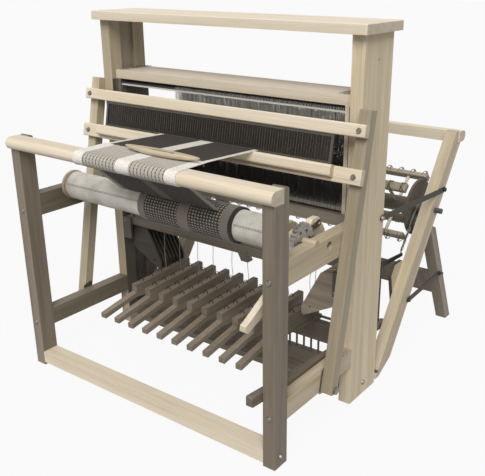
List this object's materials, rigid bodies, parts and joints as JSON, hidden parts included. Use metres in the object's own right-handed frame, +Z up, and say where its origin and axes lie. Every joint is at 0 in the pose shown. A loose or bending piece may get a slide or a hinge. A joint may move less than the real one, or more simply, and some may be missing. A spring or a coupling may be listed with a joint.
{
  "type": "floor loom",
  "caption": "Folding wooden jack loom with a tall castle, stepped treadles, swinging beater with reed, cloth beam with ratchet, and a folding back frame with a sectional warp beam.",
  "frame": {"origin": "on the floor, under the middle of the loom's box", "axes": "+X to the weaver's right, +Y from the breast beam to the back beam, +Z up"},
  "size_m": [1.19, 1.3279, 1.24],
  "materials": {
    "maple": "satin oil",
    "steel": "satin",
    "dark_steel": "black",
    "cloth": "woven",
    "canvas": "plain weave",
    "cord": "twisted"
  },
  "bodies": {
    "frame": {"front_legs": "maple", "breast_beam": "maple", "front_stretcher": "maple", "side_rails": "maple", "castle_sides": "maple", "castle_shelf": "maple", "base_boards": "maple", "pivot_rods": "steel", "frame_hardware": "steel", "jacks": "maple", "shuttle": "maple", "woven_cloth": "cloth", "tie_up_cords": "cord"},
    "beater": {"beater_arms": "maple", "beater_top_bar": "maple", "beater_lower_bar": "maple", "reed": "steel", "beater_hardware": "steel"},
    "cloth_roller": {"cloth_beam": "maple", "cloth_ratchet": "steel", "cloth_roll": "canvas"},
    "take_up_lever": {"advance_lever": "maple"},
    "take_up_pawl": {"advance_pawl": "steel"},
    "stop_pawl": {"holding_pawl": "steel"},
    "back_frame": {"back_posts": "maple", "back_beam": "maple", "lower_straps": "dark_steel", "brake_band": "steel", "warp_threads": "cloth"},
    "rear_leg_frame": {"rear_legs": "maple"},
    "strap_pair": {"upper_straps": "dark_steel"},
    "warp_roller": {"warp_beam": "maple"},
    "brake_arm": {"brake_lever": "dark_steel"},
    "brake_treadle": {"brake_pedal": "maple"},
    "harness_1_body": {"harness_1": "maple"},
    "harness_2_body": {"harness_2": "maple"},
    "harness_3_body": {"harness_3": "maple"},
    "harness_4_body": {"harness_4": "maple"},
    "harness_5_body": {"harness_5": "maple"},
    "harness_6_body": {"harness_6": "maple"},
    "harness_7_body": {"harness_7": "maple"},
    "harness_8_body": {"harness_8": "maple"},
    "lamm_1_body": {"lamm_1": "maple"},
    "lamm_2_body": {"lamm_2": "maple"},
    "lamm_3_body": {"lamm_3": "maple"},
    "lamm_4_body": {"lamm_4": "maple"},
    "lamm_5_body": {"lamm_5": "maple"},
    "lamm_6_body": {"lamm_6": "maple"},
    "lamm_7_body": {"lamm_7": "maple"},
    "lamm_8_body": {"lamm_8": "maple"},
    "treadle_1_body": {"treadle_1": "maple"},
    "treadle_2_body": {"treadle_2": "maple"},
    "treadle_3_body": {"treadle_3": "maple"},
    "treadle_4_body": {"treadle_4": "maple"},
    "treadle_5_body": {"treadle_5": "maple"},
    "treadle_6_body": {"treadle_6": "maple"},
    "treadle_7_body": {"treadle_7": "maple"},
    "treadle_8_body": {"treadle_8": "maple"},
    "treadle_9_body": {"treadle_9": "maple"},
    "treadle_10_body": {"treadle_10": "maple"}
  },
  "joints": [
    {"name": "beater_swing", "type": "hinge", "parent": "frame", "child": "beater", "pos_m": [0, -0.3537, 0.155], "axis": [1, 0, 0], "range_deg": [0, 16]},
    {"name": "cloth_beam_turn", "type": "hinge", "parent": "frame", "child": "cloth_roller", "pos_m": [0, -0.4137, 0.652], "axis": [1, 0, 0], "continuous": true},
    {"name": "take_up_lever_pull", "type": "hinge", "parent": "frame", "child": "take_up_lever", "pos_m": [0, -0.4137, 0.652], "axis": [1, 0, 0], "range_deg": [-24, 0]},
    {"name": "take_up_pawl_lift", "type": "hinge", "parent": "take_up_lever", "child": "take_up_pawl", "pos_m": [0, -0.3167, 0.676], "axis": [1, 0, 0], "range_deg": [-30, 0]},
    {"name": "stop_pawl_lift", "type": "hinge", "parent": "frame", "child": "stop_pawl", "pos_m": [0, -0.2777, 0.623], "axis": [1, 0, 0], "range_deg": [-35, 0]},
    {"name": "back_frame_fold", "type": "hinge", "parent": "frame", "child": "back_frame", "pos_m": [0, 0.0163, 0.03], "axis": [1, 0, 0], "range_deg": [0, 24]},
    {"name": "rear_leg_fold", "type": "hinge", "parent": "back_frame", "child": "rear_leg_frame", "pos_m": [0, 0.41831, 0.44655], "axis": [1, 0, 0], "range_deg": [-40, 0]},
    {"name": "strap_lift", "type": "hinge", "parent": "back_frame", "child": "strap_pair", "pos_m": [0, 0.4763, 0.6], "axis": [1, 0, 0], "range_deg": [-78, 0]},
    {"name": "warp_beam_turn", "type": "hinge", "parent": "back_frame", "child": "warp_roller", "pos_m": [0, 0.4103, 0.535], "axis": [1, 0, 0], "continuous": true},
    {"name": "brake_pedal_press", "type": "hinge", "parent": "frame", "child": "brake_treadle", "pos_m": [0.489, -0.1687, 0.18652], "axis": [1, 0, 0], "range_deg": [0, 2.4]},
    {"name": "brake_lever_lift", "type": "hinge", "parent": "frame", "child": "brake_arm", "pos_m": [0.477, 0.0033, 0.402], "axis": [1, 0, 0], "range_deg": [0, 6.2]},
    {"name": "treadle_1_press", "type": "hinge", "parent": "frame", "child": "treadle_1_body", "pos_m": [-0.3105, -0.0187, 0.201], "axis": [1, 0, 0], "range_deg": [0, 18]},
    {"name": "treadle_2_press", "type": "hinge", "parent": "frame", "child": "treadle_2_body", "pos_m": [-0.2415, -0.0187, 0.201], "axis": [1, 0, 0], "range_deg": [0, 18]},
    {"name": "treadle_3_press", "type": "hinge", "parent": "frame", "child": "treadle_3_body", "pos_m": [-0.1725, -0.0187, 0.201], "axis": [1, 0, 0], "range_deg": [0, 18]},
    {"name": "treadle_4_press", "type": "hinge", "parent": "frame", "child": "treadle_4_body", "pos_m": [-0.1035, -0.0187, 0.201], "axis": [1, 0, 0], "range_deg": [0, 18]},
    {"name": "treadle_5_press", "type": "hinge", "parent": "frame", "child": "treadle_5_body", "pos_m": [-0.0345, -0.0187, 0.201], "axis": [1, 0, 0], "range_deg": [0, 18]},
    {"name": "treadle_6_press", "type": "hinge", "parent": "frame", "child": "treadle_6_body", "pos_m": [0.0345, -0.0187, 0.201], "axis": [1, 0, 0], "range_deg": [0, 18]},
    {"name": "treadle_7_press", "type": "hinge", "parent": "frame", "child": "treadle_7_body", "pos_m": [0.1035, -0.0187, 0.201], "axis": [1, 0, 0], "range_deg": [0, 18]},
    {"name": "treadle_8_press", "type": "hinge", "parent": "frame", "child": "treadle_8_body", "pos_m": [0.1725, -0.0187, 0.201], "axis": [1, 0, 0], "range_deg": [0, 18]},
    {"name": "treadle_9_press", "type": "hinge", "parent": "frame", "child": "treadle_9_body", "pos_m": [0.2415, -0.0187, 0.201], "axis": [1, 0, 0], "range_deg": [0, 18], "stiffness_Nm_per_rad": 3, "springref_deg": -20.05},
    {"name": "treadle_10_press", "type": "hinge", "parent": "frame", "child": "treadle_10_body", "pos_m": [0.3105, -0.0187, 0.201], "axis": [1, 0, 0], "range_deg": [0, 18], "stiffness_Nm_per_rad": 3, "springref_deg": -20.05},
    {"name": "harness_1_rise", "type": "slide", "parent": "frame", "child": "harness_1_body", "axis": [0, 0, 1], "range_m": [0, 0.0705]},
    {"name": "lamm_1_swing", "type": "hinge", "parent": "frame", "child": "lamm_1_body", "pos_m": [-0.495, -0.1642, 0.45], "axis": [0, 1, 0], "range_deg": [0, 3.5]},
    {"name": "harness_2_rise", "type": "slide", "parent": "frame", "child": "harness_2_body", "axis": [0, 0, 1], "range_m": [0, 0.0705]},
    {"name": "lamm_2_swing", "type": "hinge", "parent": "frame", "child": "lamm_2_body", "pos_m": [-0.495, -0.1462, 0.45], "axis": [0, 1, 0], "range_deg": [0, 3.5]},
    {"name": "harness_3_rise", "type": "slide", "parent": "frame", "child": "harness_3_body", "axis": [0, 0, 1], "range_m": [0, 0.0705]},
    {"name": "lamm_3_swing", "type": "hinge", "parent": "frame", "child": "lamm_3_body", "pos_m": [-0.495, -0.1282, 0.45], "axis": [0, 1, 0], "range_deg": [0, 3.5]},
    {"name": "harness_4_rise", "type": "slide", "parent": "frame", "child": "harness_4_body", "axis": [0, 0, 1], "range_m": [0, 0.0705]},
    {"name": "lamm_4_swing", "type": "hinge", "parent": "frame", "child": "lamm_4_body", "pos_m": [-0.495, -0.1102, 0.45], "axis": [0, 1, 0], "range_deg": [0, 3.5]},
    {"name": "harness_5_rise", "type": "slide", "parent": "frame", "child": "harness_5_body", "axis": [0, 0, 1], "range_m": [0, 0.0705]},
    {"name": "lamm_5_swing", "type": "hinge", "parent": "frame", "child": "lamm_5_body", "pos_m": [-0.495, -0.0922, 0.45], "axis": [0, 1, 0], "range_deg": [0, 3.5]},
    {"name": "harness_6_rise", "type": "slide", "parent": "frame", "child": "harness_6_body", "axis": [0, 0, 1], "range_m": [0, 0.0705]},
    {"name": "lamm_6_swing", "type": "hinge", "parent": "frame", "child": "lamm_6_body", "pos_m": [-0.495, -0.0742, 0.45], "axis": [0, 1, 0], "range_deg": [0, 3.5]},
    {"name": "harness_7_rise", "type": "slide", "parent": "frame", "child": "harness_7_body", "axis": [0, 0, 1], "range_m": [0, 0.0705]},
    {"name": "lamm_7_swing", "type": "hinge", "parent": "frame", "child": "lamm_7_body", "pos_m": [-0.495, -0.0562, 0.45], "axis": [0, 1, 0], "range_deg": [0, 3.5]},
    {"name": "harness_8_rise", "type": "slide", "parent": "frame", "child": "harness_8_body", "axis": [0, 0, 1], "range_m": [0, 0.0705]},
    {"name": "lamm_8_swing", "type": "hinge", "parent": "frame", "child": "lamm_8_body", "pos_m": [-0.495, -0.0382, 0.45], "axis": [0, 1, 0], "range_deg": [0, 3.5]}
  ],
  "couplings": [
    {"joint": "strap_lift", "follows": "back_frame_fold", "ratio": -3.2},
    {"joint": "brake_lever_lift", "follows": "brake_pedal_press", "ratio": 2.47},
    {"joint": "harness_1_rise", "follows": "treadle_1_press", "m_per_rad": 0.22282},
    {"joint": "lamm_1_swing", "follows": "treadle_1_press", "ratio": 0.18889},
    {"joint": "harness_2_rise", "follows": "treadle_2_press", "m_per_rad": 0.22282},
    {"joint": "lamm_2_swing", "follows": "treadle_2_press", "ratio": 0.18889},
    {"joint": "harness_3_rise", "follows": "treadle_3_press", "m_per_rad": 0.22282},
    {"joint": "lamm_3_swing", "follows": "treadle_3_press", "ratio": 0.18889},
    {"joint": "harness_4_rise", "follows": "treadle_4_press", "m_per_rad": 0.22282},
    {"joint": "lamm_4_swing", "follows": "treadle_4_press", "ratio": 0.18889},
    {"joint": "harness_5_rise", "follows": "treadle_5_press", "m_per_rad": 0.22282},
    {"joint": "lamm_5_swing", "follows": "treadle_5_press", "ratio": 0.18889},
    {"joint": "harness_6_rise", "follows": "treadle_6_press", "m_per_rad": 0.22282},
    {"joint": "lamm_6_swing", "follows": "treadle_6_press", "ratio": 0.18889},
    {"joint": "harness_7_rise", "follows": "treadle_7_press", "m_per_rad": 0.22282},
    {"joint": "lamm_7_swing", "follows": "treadle_7_press", "ratio": 0.18889},
    {"joint": "harness_8_rise", "follows": "treadle_8_press", "m_per_rad": 0.22282},
    {"joint": "lamm_8_swing", "follows": "treadle_8_press", "ratio": 0.18889}
  ]
}
